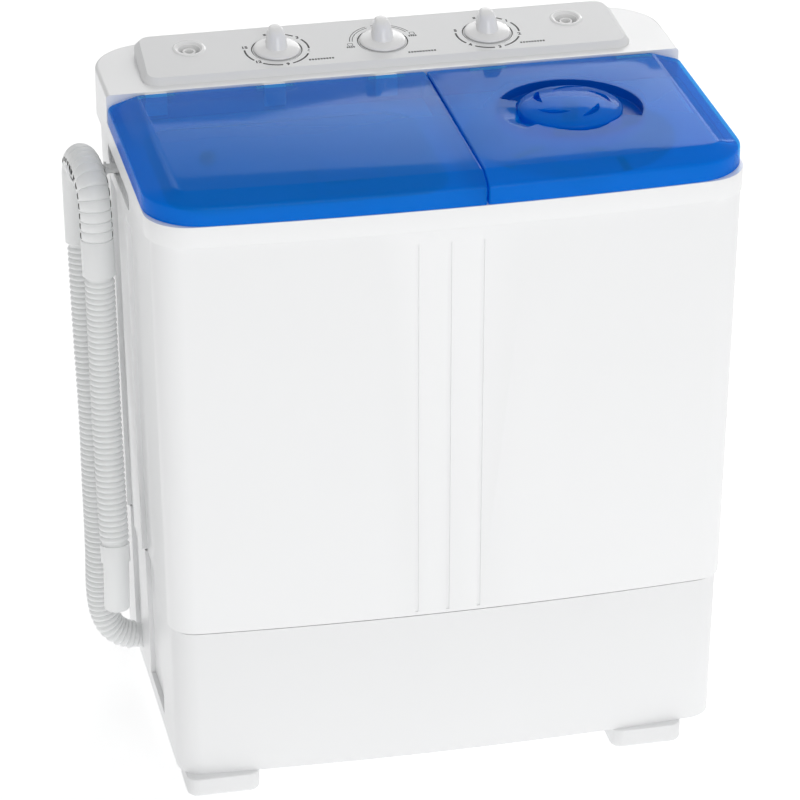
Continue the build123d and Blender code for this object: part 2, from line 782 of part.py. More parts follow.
valve_side = tuple(Vector(*drain_axis, inlet_level) - port_direction * 30.5)
with BuildPart() as tub_pipes:
    pipe(
        [
            (drain_port[0], drain_port[1], 258),
            (drain_port[0], drain_port[1], inlet_level),
            valve_side,
        ],
        8.8,
        7,
    )
    pipe(
        [
            (overflow_x, 50, 540),
            (overflow_x, 80, 540),
            (overflow_x, drain_axis[1], 252),
            (drain_axis[0] - 28.5, drain_axis[1], 252),
        ],
        8.8,
        7,
    )
    pipe(
        [
            (*spin_port, outer_floor - 25),
            (*spin_port, 224),
            (drain_axis[0] + 30.5, drain_axis[1] - 10, 224),
        ],
        8.8,
        7,
    )
    for sign, tub_wall in ((-1, 50), (1, 58)):
        inlet_x = panel_centre[0] + sign * inlet_pitch / 2
        pipe(
            [
                (inlet_x, 151.5, 651),
                (inlet_x, 155, inlet_height),
                (inlet_x, tub_wall, inlet_height),
            ],
            8.8,
            7.0,
        )
write(tub_pipes, "tub_pipes")

with BuildPart() as hose_outlet:
    with BuildSketch(outlet_plane.offset(-outlet_inner)):
        Circle(12.9)
        Circle(10.5, mode=Mode.SUBTRACT)
    extrude(amount=outlet_inner + outlet_outer)
write(hose_outlet, "hose_outlet")

# ---- Drain hose ---------------------------------------------------------------------------

riser_points = [
    tuple(outlet_point + outlet_direction * outlet_outer),
    (-304.0, 65.5, 50.6),
    (-319.5, 67.0, 66.0),
    (-326.5, 69.0, 98.0),
    (-325.0, 67.0, 160.0),
    (-325.5, 71.0, 240.0),
    (-325.0, 76.0, 320.0),
    (-326.0, 94.0, 408.0),
    (-326.0, 106.0, 499.0),
]
tail_points = [
    (-320.0, 25.0, 497.0),
    (-319.5, 20.5, 430.0),
    (-320.0, 12.0, 358.0),
    (-320.5, -4.0, 280.0),
    (-320.0, -17.0, 208.0),
]
crown_height = 597.0
rear_leg = Vector(*riser_points[-1]) - Vector(*riser_points[-2])
front_leg = Vector(*tail_points[0]) - Vector(*tail_points[1])
tail_end = (Vector(*tail_points[-1]) - Vector(*tail_points[-2])).normalized()
goose_points = [
    riser_points[-1],
    tuple(Vector(*riser_points[-1]) + rear_leg * ((crown_height - riser_points[-1][2]) / rear_leg.Z)),
    tuple(Vector(*tail_points[0]) + front_leg * ((crown_height - tail_points[0][2]) / front_leg.Z)),
    tail_points[0],
]


def hose(points, label):
    """Plain solid of a free hose."""
    with BuildPart() as run:
        centre_line = pipe(points, hose_diameter / 2, 0)
    write(run, label)
    swept = pi * hose_diameter**2 / 4 * centre_line.length
    print(label, "radii", [round(radius) for radius in arc_radii(points)])
    print(label, "length", round(centre_line.length, 1), "volume ratio", round(run.part.volume / swept, 4))


hose(riser_points, "drain_hose_riser")
hose(tail_points, "drain_hose_tail")

with BuildPart() as hose_gooseneck:
    pipe(goose_points, cuff_diameter / 2, 13.0)
write(hose_gooseneck, "hose_gooseneck")

with BuildPart() as hose_end:
    bend = tuple(Vector(*tail_points[-1]) + tail_end * 24)
    pipe([tail_points[-1], bend, (-320.0, -18.0, 134.0)], 13.4, 11.4)
    with BuildSketch(Plane(tail_points[-1], z_dir=tail_end)):
        Circle(15.3)
        Circle(12, mode=Mode.SUBTRACT)
    extrude(amount=19)
write(hose_end, "hose_end")

with BuildPart() as hanger_clip:
    with Locations(Location((-323.0, 70.0, crown_height), (90, 0, 0))):
        Cylinder(cuff_diameter / 2 + 4, 14)
        Cylinder(cuff_diameter / 2 + 1.6, 20, mode=Mode.SUBTRACT)
    with Locations((-323.0, 70.0, crown_height + 2)):
        Box(60, 20, 40, align=(Align.CENTER, Align.CENTER, Align.MIN), mode=Mode.SUBTRACT)
    with Locations((-296.0, 70.0, crown_height - 3)):
        Box(18, 14, 5)
write(hanger_clip, "hanger_clip")

# ---- Lids ---------------------------------------------------------------------------------

lid_gap = 29.4  # X of the gap between the two lids
gap_half = 0.8
vent_radius = 73.0
vent_floor = 662.5
dome_radius = 53.0
side_bevel = 29.0
front_bevel = 21.0
lid_corner = 8.0  # plan radius of the lids' back corners


def lid_block(inset):
    """Both lids as one solid: an upright skirt, then a bevel along the front and the sides."""
    with BuildPart() as block:
        side, front, back = width / 2 - inset, inset - depth / 2, lid_back - inset
        skirt = footprint(
            lid_bottom, side, front, back, lid_front_corner - inset, lid_corner - inset
        )
        extrude(skirt, amount=lid_edge - lid_bottom)
        crown = footprint(
            lid_top - inset,
            side - side_bevel,
            front + front_bevel,
            back - 3,
            lid_front_corner - 16 - inset,
            lid_corner - inset,
        )
        loft([skirt.moved(Location((0, 0, lid_edge - lid_bottom))), crown], ruled=True)
    return block.part


lid_outside = lid_block(0)
lid_inside = lid_block(wall)


def lid_half(low_x, high_x, hinges):
    """One lid: its share of the block, hollowed, with hinge notches and knuckles."""
    with BuildPart() as hollow:
        add(lid_inside)
        with Locations(((low_x + high_x) / 2, 0, lid_top)):
            Box(high_x - low_x - 2 * wall, 2 * depth, 100, mode=Mode.INTERSECT)
    with BuildPart() as shell:
        add(lid_outside)
        with Locations(((low_x + high_x) / 2, 0, lid_top)):
            Box(high_x - low_x, 2 * depth, 100, mode=Mode.INTERSECT)
        add(hollow.part, mode=Mode.SUBTRACT)
        for place in hinges:
            with Locations((place, hinge_axis[0] - 1, hinge_axis[1] - 2)):
                Box(2 * lug_half + 16, 7.6, 10)
            with Locations((place, hinge_axis[0] + 20 - 4.7, lid_top)):
                Box(2 * lug_half + 1.6, 40, 80, mode=Mode.SUBTRACT)
            with Locations(Location((place, *hinge_axis), (0, 90, 0))):
                Cylinder(pin_radius + running, 2 * lug_half + 17, mode=Mode.SUBTRACT)
    return shell.part


wash_shell = lid_half(-width / 2, lid_gap - gap_half, hinge_places["wash"])
spin_shell = lid_half(lid_gap + gap_half, width / 2, hinge_places["spin"])

with BuildPart() as wash_lid:
    add(wash_shell)
write(wash_lid, "wash_lid")

with BuildPart() as spin_lid:
    add(spin_shell)
    tube(vent_radius + wall, 0, vent_floor - wall, lid_top, spin_axis)
    bore(dome_radius + 0.8, vent_floor, lid_top, spin_axis)
    with BuildSketch(at(spin_axis, vent_floor)):
        Circle(vent_radius)
        with Locations(Location((0, 0, 0), (0, 0, -30))):
            Rectangle(
                2 * vent_radius, vent_radius, align=(Align.CENTER, Align.MIN), mode=Mode.INTERSECT
            )
    extrude(amount=lid_top - vent_floor, mode=Mode.SUBTRACT)
    bore(8, vent_floor - wall, vent_floor, spin_axis)
    with BuildSketch(at(spin_axis, vent_floor - wall)):
        with PolarLocations(33, 5):
            SlotOverall(26, 12, rotation=90)
    extrude(amount=wall, mode=Mode.SUBTRACT)
write(spin_lid, "spin_lid")

with BuildPart() as vent_knob:
    tube(dome_radius, 0, vent_floor + 0.4, lid_top + 10, spin_axis)
    fillet(vent_knob.faces().sort_by(Axis.Z)[-1].edges(), 8)
    bore(dome_radius - wall, vent_floor + 0.4, lid_top + 7, spin_axis)
    with BuildSketch(at(spin_axis, lid_top)):
        with PolarLocations(33, 5):
            SlotOverall(28, 7, rotation=30)
    extrude(amount=12, mode=Mode.SUBTRACT)
    tube(7.9, 0, vent_floor - wall - 3, lid_top + 8, spin_axis)
    tube(12, 0, vent_floor - wall - 3, vent_floor - wall - 0.4, spin_axis)
write(vent_knob, "vent_knob")

# ---- Controls -----------------------------------------------------------------------------

knob_radius = 24.2
for name, place in zip(("wash_timer", "selector", "spin_timer"), knob_places):
    with BuildPart() as knob:
        extrude(discs([place], 0.2, knob_radius), amount=6)
        with BuildSketch(panel_plane.offset(6.2)):
            with Locations((place[0], place[1] + 7)):
                SlotOverall(34, 19, rotation=90)
        extrude(amount=19)
        extrude(discs([place], -22, 3), amount=23)
    write(knob, f"{name}_knob")

with BuildPart() as timer_bodies:
    with BuildSketch(panel_plane.offset(-30)):
        with Locations(knob_places):
            RectangleRounded(52, 48, 5)
    extrude(amount=27)
    extrude(discs(knob_places, -23, 3 + running), amount=24, mode=Mode.SUBTRACT)
write(timer_bodies, "timer_bodies")

# ---- Electrical pieces --------------------------------------------------------------------

with BuildPart() as run_capacitors:
    for capacitor_x in (-30.0, 20.0):
        with BuildSketch(Plane.XY.offset(foot_height + 3)):
            with Locations((capacitor_x, 150)):
                Circle(19)
        extrude(amount=72)
write(run_capacitors, "run_capacitors")

with BuildPart() as mains_gland:
    with BuildSketch(Plane.XZ.offset(-depth / 2 + base_inset + 12)):
        with Locations(gland_place):
            Circle(9)
            Circle(4, mode=Mode.SUBTRACT)
    extrude(amount=-12.5)
write(mains_gland, "mains_gland")

with BuildPart() as lid_switch:
    with Locations((200, 100, 650)):
        Box(28, 16, 12)
    with Locations((186 + 8, 88, 652)):
        Box(6, 10, 5)
write(lid_switch, "lid_switch")
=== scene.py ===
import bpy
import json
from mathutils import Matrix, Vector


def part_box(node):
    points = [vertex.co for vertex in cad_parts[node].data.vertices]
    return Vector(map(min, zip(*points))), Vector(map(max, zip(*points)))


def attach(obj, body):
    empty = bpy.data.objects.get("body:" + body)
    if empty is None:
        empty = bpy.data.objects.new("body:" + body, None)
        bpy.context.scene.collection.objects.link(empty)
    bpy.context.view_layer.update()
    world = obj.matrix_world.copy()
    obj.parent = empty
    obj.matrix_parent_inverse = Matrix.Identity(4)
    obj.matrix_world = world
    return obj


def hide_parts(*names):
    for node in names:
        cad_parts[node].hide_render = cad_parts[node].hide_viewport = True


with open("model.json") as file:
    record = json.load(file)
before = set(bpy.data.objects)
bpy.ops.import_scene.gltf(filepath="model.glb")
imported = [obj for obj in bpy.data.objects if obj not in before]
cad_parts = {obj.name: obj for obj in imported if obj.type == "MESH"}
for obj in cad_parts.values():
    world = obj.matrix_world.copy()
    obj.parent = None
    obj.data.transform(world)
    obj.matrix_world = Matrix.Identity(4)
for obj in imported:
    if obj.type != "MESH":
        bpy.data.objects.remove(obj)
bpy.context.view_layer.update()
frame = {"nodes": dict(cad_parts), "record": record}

import json
from math import atan, cos, pi, radians, sin

import bmesh
import bpy
from mathutils import Matrix, Vector

# A twin tub washer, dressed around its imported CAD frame. Metres, Z up, front towards -Y.

MM = 0.001

# ---- Camera, light and floor --------------------------------------------------------------


CAMERA_PLACE = (-0.8133, -3.6473, 2.2253)
CAMERA_DIP = 0.46892958  # radians below the horizon
CAMERA_TURN = -0.21616603  # radians from straight back, towards +X
LENS, SENSOR = 180.3, 36.0  # mm


def look_camera():
    """Long lens, a little to the left of the washer and well above its lids."""
    data = bpy.data.cameras.new("camera")
    data.lens = LENS
    data.sensor_width = SENSOR
    camera = bpy.data.objects.new("camera", data)
    camera.location = CAMERA_PLACE
    camera.rotation_euler = (pi / 2 - CAMERA_DIP, 0, CAMERA_TURN)
    bpy.context.scene.collection.objects.link(camera)
    bpy.context.scene.camera = camera


def softbox(name, place, target, size, power):
    """Square area light at a place, turned towards a target."""
    data = bpy.data.lights.new(name, "AREA")
    data.shape = "RECTANGLE"
    data.size, data.size_y = size
    data.energy = power
    light = bpy.data.objects.new(name, data)
    light.location = place
    light.rotation_euler = (Vector(target) - Vector(place)).to_track_quat("-Z", "Y").to_euler()
    bpy.context.scene.collection.objects.link(light)


def stage_plane(name, size, place, turn):
    """Flat square of the set, with a plain material; returns its node tree."""
    bpy.ops.mesh.primitive_plane_add(size=1, location=place, rotation=turn)
    plane = bpy.context.object
    plane.name = name
    plane.scale = (*size, 1)
    made = bpy.data.materials.new(name)
    made.use_nodes = True
    plane.data.materials.append(made)
    return made.node_tree


def ramp_along_x(tree, source, low, high, dim, bright):
    """Numbers from dim to bright as the source's X goes from low to high."""
    parts = tree.nodes.new("ShaderNodeSeparateXYZ")
    tree.links.new(source, parts.inputs["Vector"])
    spread = tree.nodes.new("ShaderNodeMapRange")
    spread.interpolation_type = "SMOOTHSTEP"
    spread.inputs["From Min"].default_value = low
    spread.inputs["From Max"].default_value = high
    spread.inputs["To Min"].default_value = dim
    spread.inputs["To Max"].default_value = bright
    tree.links.new(parts.outputs["X"], spread.inputs["Value"])
    return spread.outputs["Result"]


ROOM_LIGHT = (0.42, 0.64)  # on the left and on the right
KEY_PLACE, KEY_SIZE, KEY_WATTS = (0.3, -4.2, 2.2), (2.6, 2.0), 35
FLOOR_SIZE, FLOOR_GREY, FLOOR_GLOW = (30, 30), 0.93, 0.42
CARD_PLACE, CARD_SIZE, CARD_TILT = (1.0, 3.4, 2.2), (3.6, 1.3), radians(115)
CARD_GLOW = (0.3, 3.5)  # at its left and right ends


def studio():
    """Pale room, dim on the left: a soft key in front, a card behind for the lids' sheen."""
    world = bpy.data.worlds.new("room")
    world.use_nodes = True
    tree = world.node_tree
    sky = tree.nodes.new("ShaderNodeTexCoord").outputs["Generated"]
    strength = ramp_along_x(tree, sky, -1.0, 0.4, *ROOM_LIGHT)
    tree.nodes["Background"].inputs["Color"].default_value = (1, 1, 1, 1)
    tree.links.new(strength, tree.nodes["Background"].inputs["Strength"])
    bpy.context.scene.world = world
    bpy.context.scene.view_settings.view_transform = "Standard"
    softbox("key", KEY_PLACE, (0, 0, 0.35), KEY_SIZE, KEY_WATTS)

    tree = stage_plane("floor", FLOOR_SIZE, (0, 0, 0), (0, 0, 0))
    shader = tree.nodes["Principled BSDF"]
    shader.inputs["Base Color"].default_value = (FLOOR_GREY, FLOOR_GREY, FLOOR_GREY, 1)
    shader.inputs["Roughness"].default_value = 0.8
    shader.inputs["Emission Color"].default_value = (1, 1, 1, 1)
    shader.inputs["Emission Strength"].default_value = FLOOR_GLOW

    tree = stage_plane("sheen_card", CARD_SIZE, CARD_PLACE, (CARD_TILT, 0, 0))
    across = tree.nodes.new("ShaderNodeTexCoord").outputs["Object"]
    shader = tree.nodes["Principled BSDF"]
    shader.inputs["Emission Color"].default_value = (1, 1, 1, 1)
    glow = ramp_along_x(tree, across, -0.5, 0.5, *CARD_GLOW)
    tree.links.new(glow, shader.inputs["Emission Strength"])


look_camera()
studio()

# ---- Materials ----------------------------------------------------------------------------


NOISE_LOW, NOISE_HIGH = 0.3, 0.7  # most of a noise texture's values lie between these


class Nodes:
    """A material's node tree with short ways to add and join nodes."""

    def __init__(self, name):
        self.material = bpy.data.materials.new(name)
        self.material.use_nodes = True
        self.tree = self.material.node_tree
        self.shader = self.tree.nodes["Principled BSDF"]
        self.place = self.tree.nodes.new("ShaderNodeTexCoord").outputs["Object"]

    def join(self, source, target):
        self.tree.links.new(source, target)

    def noise(self, size, detail=2.0, stretch=(1, 1, 1)):
        """Noise with features about size metres across, optionally stretched."""
        mapping = self.tree.nodes.new("ShaderNodeMapping")
        mapping.inputs["Scale"].default_value = stretch
        self.join(self.place, mapping.inputs["Vector"])
        noise = self.tree.nodes.new("ShaderNodeTexNoise")
        noise.inputs["Scale"].default_value = 1 / size
        noise.inputs["Detail"].default_value = detail
        self.join(mapping.outputs["Vector"], noise.inputs["Vector"])
        return noise.outputs["Fac"]

    def spread(self, source, low, high):
        """The source's middle range as numbers from low to high."""
        spread = self.tree.nodes.new("ShaderNodeMapRange")
        spread.inputs["From Min"].default_value = NOISE_LOW
        spread.inputs["From Max"].default_value = NOISE_HIGH
        spread.inputs["To Min"].default_value = low
        spread.inputs["To Max"].default_value = high
        self.join(source, spread.inputs["Value"])
        return spread.outputs["Result"]

    def blend(self, source, first, second):
        """A colour between two, as the source says."""
        ramp = self.tree.nodes.new("ShaderNodeValToRGB")
        ramp.color_ramp.elements[0].position = NOISE_LOW
        ramp.color_ramp.elements[1].position = NOISE_HIGH
        ramp.color_ramp.elements[0].color = (*first, 1)
        ramp.color_ramp.elements[1].color = (*second, 1)
        self.join(source, ramp.inputs["Fac"])
        return ramp.outputs["Color"]

    def bump(self, source, depth, strength=1.0):
        """Small relief on top of the surface."""
        bump = self.tree.nodes.new("ShaderNodeBump")
        bump.inputs["Distance"].default_value = depth
        bump.inputs["Strength"].default_value = strength
        self.join(source, bump.inputs["Height"])
        self.join(bump.outputs["Normal"], self.shader.inputs["Normal"])


def shade(colour, share):
    return tuple(channel * share for channel in colour)


def moulded(name, colour, roughness=0.35, grain=1.0 * MM, relief=0.002 * MM, coat=0.0, metal=0.0):
    """Moulded plastic or cast part: faint flow marks, a fine grain and uneven gloss."""
    made = Nodes(name)
    tint = made.blend(made.noise(0.12, 1), shade(colour, 0.995), colour)
    gloss = made.spread(made.noise(0.06, 0.5), roughness - 0.015, roughness + 0.015)
    made.join(tint, made.shader.inputs["Base Color"])
    made.join(gloss, made.shader.inputs["Roughness"])
    made.bump(made.noise(grain, 2), relief)
    made.shader.inputs["Coat Weight"].default_value = coat
    made.shader.inputs["Metallic"].default_value = metal
    return made.material


def brushed(name, colour, roughness=0.32):
    """Drawn or rolled steel with fine streaks."""
    made = Nodes(name)
    streaks = made.noise(1.5 * MM, 4, stretch=(1, 1, 0.04))
    gloss = made.spread(streaks, roughness - 0.08, roughness + 0.1)
    made.join(made.blend(streaks, shade(colour, 0.82), colour), made.shader.inputs["Base Color"])
    made.join(gloss, made.shader.inputs["Roughness"])
    made.bump(streaks, 0.03 * MM)
    made.shader.inputs["Metallic"].default_value = 1.0
    return made.material


def tinted(name, body, clear, solid, roughness):
    """Clear tinted plastic: a see-through film mixed with a glossy skin, as solid as said."""
    made = Nodes(name)
    tint = made.blend(made.noise(0.12, 1), shade(body, 0.97), body)
    gloss = made.spread(made.noise(0.05, 3), roughness - 0.02, roughness + 0.03)
    made.join(tint, made.shader.inputs["Base Color"])
    made.join(gloss, made.shader.inputs["Roughness"])
    made.bump(made.noise(0.02, 2), 0.03 * MM, 0.4)
    made.shader.inputs["IOR"].default_value = 1.33
    film = made.tree.nodes.new("ShaderNodeBsdfTransparent")
    film.inputs["Color"].default_value = (*clear, 1)
    mixed = made.tree.nodes.new("ShaderNodeMixShader")
    mixed.inputs["Fac"].default_value = solid
    made.join(film.outputs["BSDF"], mixed.inputs[1])
    made.join(made.shader.outputs["BSDF"], mixed.inputs[2])
    made.join(mixed.outputs["Shader"], made.tree.nodes["Material Output"].inputs["Surface"])
    return made.material


WHITE = (0.90, 0.905, 0.91)
PAINTS = {
    "body_white": moulded("body_white", WHITE, 0.3, coat=0.15),
    "base_white": moulded("base_white", shade(WHITE, 0.985), 0.32, coat=0.1),
    "panel_grey": moulded("panel_grey", (0.87, 0.875, 0.88), 0.33),
    "lid_blue": tinted("lid_blue", (0.0, 0.30, 0.92), (0.005, 0.64, 0.97), 0.36, 0.07),
    "knob_white": moulded("knob_white", (0.93, 0.93, 0.93), 0.22, coat=0.3),
    "hose_white": moulded("hose_white", (0.87, 0.88, 0.88), 0.42, grain=1.2 * MM),
    "hose_fitting": moulded("hose_fitting", (0.89, 0.9, 0.9), 0.34),
    "tub_white": moulded("tub_white", (0.86, 0.88, 0.90), 0.28, coat=0.2),
    "pulsator_blue": moulded("pulsator_blue", (0.62, 0.76, 0.90), 0.25, coat=0.25),
    "inner_grey": moulded("inner_grey", (0.50, 0.52, 0.53), 0.5),
    "pipe_grey": moulded("pipe_grey", (0.42, 0.43, 0.44), 0.55),
    "rubber_black": moulded("rubber_black", (0.035, 0.035, 0.036), 0.7, grain=1.0 * MM),
    "foot_white": moulded("foot_white", (0.86, 0.865, 0.87), 0.5, relief=0.05 * MM),
    "steel": brushed("steel", (0.60, 0.61, 0.62)),
    "plated_steel": brushed("plated_steel", (0.78, 0.78, 0.77), 0.22),
    "motor_paint": moulded("motor_paint", (0.035, 0.037, 0.04), 0.45, 2 * MM, 0.1 * MM),
    "alloy": moulded("alloy", (0.66, 0.67, 0.68), 0.42, 1.5 * MM, 0.08 * MM, metal=1.0),
    "back_panel": moulded("back_panel", (0.80, 0.81, 0.81), 0.5, 1.4 * MM, 0.05 * MM),
    "electrical_black": moulded("electrical_black", (0.03, 0.03, 0.03), 0.5),
}
# Darker, more solid blue: painted shade for the vent trench and notch, and for the hub under the
# dome.
PAINTED_SHADE_BLUE = tinted("lid_blue_painted_shade", (0.0, 0.13, 0.52), (0.02, 0.35, 0.8), 0.62, 0.3)
INK = moulded("dial_ink", (0.02, 0.02, 0.022), 0.5)
# Near-black painted shadow, laid where the bend guide's slots and the gaps round the knobs would
# be dark.
SHADOW = moulded("slot_shadow", (0.05, 0.05, 0.05), 0.8)

# ---- Mesh helpers -------------------------------------------------------------------------


def shade_by_angle(mesh, limit=radians(32)):
    """Smooth shading that stops at edges sharper than the limit."""
    shaped = bmesh.new()
    shaped.from_mesh(mesh)
    for face in shaped.faces:
        face.smooth = True
    for edge in shaped.edges:
        edge.smooth = len(edge.link_faces) == 2 and edge.calc_face_angle(0) < limit
    shaped.to_mesh(mesh)
    shaped.free()


def piece(name, mesh, body, slot, materials=None):
    """A finished mesh as a shown piece on a body, in its slot's material."""
    shade_by_angle(mesh)
    made = bpy.data.objects.new(name, mesh)
    bpy.context.scene.collection.objects.link(made)
    for entry in materials or [PAINTS[slot]]:
        mesh.materials.append(entry)
    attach(made, body)
    return made


def mesh_from(name, points, faces, paints=None):
    mesh = bpy.data.meshes.new(name)
    mesh.from_pydata([tuple(point) for point in points], [], faces)
    if paints:
        for face, index in zip(mesh.polygons, paints):
            face.material_index = index
    shaped = bmesh.new()
    shaped.from_mesh(mesh)
    bmesh.ops.remove_doubles(shaped, verts=shaped.verts, dist=1e-6)
    bmesh.ops.recalc_face_normals(shaped, faces=shaped.faces)
    shaped.to_mesh(mesh)
    shaped.free()
    return mesh


def loft(name, loops, closed_ends=True):
    """Skin over loops of equal length, from the first to the last."""
    count = len(loops[0])
    points = [point for loop in loops for point in loop]
    faces = []
    for level in range(len(loops) - 1):
        for step in range(count):
            after = (step + 1) % count
            low, high = level * count, (level + 1) * count
            faces.append((low + step, low + after, high + after, high + step))
    if closed_ends:
        faces.append(tuple(range(count)))
        faces.append(tuple(range(len(points) - count, len(points))))
    return mesh_from(name, points, faces)


def turned(name, profile, centre, steps=96):
    """Solid of revolution about an upright axis from (radius, height) points."""
    turns = [2 * pi * step / steps for step in range(steps)]
    loops = [
        [(centre[0] + radius * cos(turn), centre[1] + radius * sin(turn), z) for turn in turns]
        for radius, z in profile
    ]
    return loft(name, loops)


def open_ring(name, profile, steps=96):
    """Ring with the closed section given as (radius, height) in mm."""
    points, faces = [], []
    for step in range(steps):
        turn = 2 * pi * step / steps
        points += [
            (radius * MM * cos(turn), radius * MM * sin(turn), z * MM) for radius, z in profile
        ]
    count = len(profile)
    for step in range(steps):
        here, there = step * count, (step + 1) % steps * count
        for row in range(count):
            after = (row + 1) % count
            faces.append((here + row, there + row, there + after, here + after))
    return mesh_from(name, points, faces)


def rounded(left, right, front, back, radii, corner_steps=12, straight_steps=1):
    """Rounded rectangle from its front left corner anticlockwise, with a radius per corner."""
    centres = (
        (left + radii[0], front + radii[0], pi),
        (right - radii[1], front + radii[1], 1.5 * pi),
        (right - radii[2], back - radii[2], 0.0),
        (left + radii[3], back - radii[3], 0.5 * pi),
    )
    found = []
    for (x, y, start), radius in zip(centres, radii):
        for step in range(corner_steps + 1):
            turn = start + pi / 2 * step / corner_steps
            found.append((x + radius * cos(turn), y + radius * sin(turn)))
    if straight_steps > 1:
        begin, end = found[corner_steps], found[corner_steps + 1]
        between = [
            tuple(a + (b - a) * step / straight_steps for a, b in zip(begin, end))
            for step in range(1, straight_steps)
        ]
        found[corner_steps + 1 : corner_steps + 1] = between
    return found


# ---- Drain hose ---------------------------------------------------------------------------

RISER = (
    (-0.287961, 0.065, 0.047392),
    (-0.304, 0.0655, 0.0506),
    (-0.3195, 0.067, 0.066),
    (-0.3265, 0.069, 0.098),
    (-0.325, 0.067, 0.160),
    (-0.3255, 0.071, 0.240),
    (-0.325, 0.076, 0.320),
    (-0.326, 0.094, 0.408),
    (-0.326, 0.106, 0.499),
)
TAIL = (
    (-0.320, 0.025, 0.497),
    (-0.3195, 0.0205, 0.430),
    (-0.320, 0.012, 0.358),
    (-0.3205, -0.004, 0.280),
    (-0.320, -0.017, 0.208),
)
RIB_PITCH = 6.0 * MM
CREST, VALLEY, PLAIN_END = 15.5 * MM, 13.1 * MM, 4 * MM  # radii of the ribs, and the plain ends
RIB_STEPS = 8


def smooth_line(points):
    """Points along the NURBS curve whose control points are given."""
    data = bpy.data.curves.new("route", "CURVE")
    data.dimensions = "3D"
    data.resolution_u = 24
    spline = data.splines.new("NURBS")
    spline.points.add(len(points) - 1)
    for target, point in zip(spline.points, points):
        target.co = (*point, 1)
    spline.order_u = 3
    spline.use_endpoint_u = True
    route = bpy.data.objects.new("route", data)
    line = bpy.data.meshes.new_from_object(route)
    found = [vertex.co.copy() for vertex in line.vertices]
    bpy.data.objects.remove(route)
    bpy.data.curves.remove(data)
    bpy.data.meshes.remove(line)
    return found


def line_length(line):
    return sum((after - before).length for before, after in zip(line, line[1:]))


def along(line, distances):
    """Point and direction at each distance along a line."""
    found, index, passed = [], 0, 0.0
    for distance in distances:
        while index < len(line) - 2 and passed + (line[index + 1] - line[index]).length < distance:
            passed += (line[index + 1] - line[index]).length
            index += 1
        step = line[index + 1] - line[index]
        share = (distance - passed) / step.length
        earlier = line[max(index - 1, 0) + 1] - line[max(index - 1, 0)]
        later = line[min(index + 2, len(line) - 1)] - line[min(index + 1, len(line) - 2)]
        heading = earlier.normalized().lerp(later.normalized(), 0.25 + 0.5 * share)
        found.append((line[index] + step * share, heading.normalized()))
    return found


def hose_mesh(name, line, distances, radius_at, across, sides=36, paint_at=None):
    """Tube whose radius varies along a line and, if it likes, round it."""
    points, faces, paints = [], [], []
    for (centre, heading), distance in zip(along(line, distances), distances):
        side = (Vector(across) - heading * heading.dot(Vector(across))).normalized()
        up = heading.cross(side)
        for step in range(sides):
            turn = 2 * pi * step / sides
            points.append(centre + (side * cos(turn) + up * sin(turn)) * radius_at(distance, turn))
    for level in range(len(distances) - 1):
        for step in range(sides):
            after = (step + 1) % sides
            low, high = level * sides, (level + 1) * sides
            faces.append((low + step, low + after, high + after, high + step))
            turn = 2 * pi * (step + 0.5) / sides
            middle = (distances[level] + distances[level + 1]) / 2
            paints.append(int(paint_at(middle, turn)) if paint_at else 0)
    faces += [tuple(range(sides)), tuple(range(len(points) - sides, len(points)))]
    return mesh_from(name, points, faces, paints + [0, 0])


def ribbed_hose(name, route, across):
    """Corrugated run: round crests, narrower valleys, and a short plain stretch at each end."""
    line = smooth_line(route)
    length = line_length(line)
    ribbed = length - 2 * PLAIN_END
    count = round(ribbed / RIB_PITCH)
    steps = count * RIB_STEPS
    distances = [0.0] + [PLAIN_END + ribbed * step / steps for step in range(steps + 1)]
    distances.append(length)

    def radius_at(distance, turn):
        if distance <= PLAIN_END or distance >= length - PLAIN_END:
            return VALLEY
        phase = (distance - PLAIN_END) / ribbed * count
        return VALLEY + (CREST - VALLEY) * abs(sin(pi * phase)) ** 0.7

    mesh = hose_mesh(name, line, distances, radius_at, across)
    made = piece(name, mesh, "root", "hose_white")
    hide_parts(name)
    return made, line, length


BEND = (
    RISER[-1],
    (-0.326, 0.1110, 0.534),
    (-0.326, 0.1180, 0.580),
    (-0.3245, 0.1000, 0.5965),
    (-0.3225, 0.0510, 0.5965),
    (-0.3208, 0.0325, 0.580),
    (-0.3205, 0.0280, 0.534),
    TAIL[0],
)
SLOT_TURNS = (radians(28), radians(172))  # round the tube, from +X towards the bend's outside
SLOT_HALF_WIDTH = radians(4.5)
REAR_CUFF, FRONT_CUFF = 84 * MM, 40 * MM
BAND_PITCH = 10.3 * MM
BAND = (  # share of a rib's length, and the bend guide's radius there in mm
    (0.0, 15.3),
    (0.07, 16.3),
    (0.2, 16.75),
    (0.35, 16.95),
    (0.5, 17.0),
    (0.65, 16.95),
    (0.8, 16.75),
    (0.93, 16.3),
)
CUFF_RADIUS, CUFF_EDGE_RADIUS, CUFF_EDGE = 17.0, 16.2, 0.8  # mm


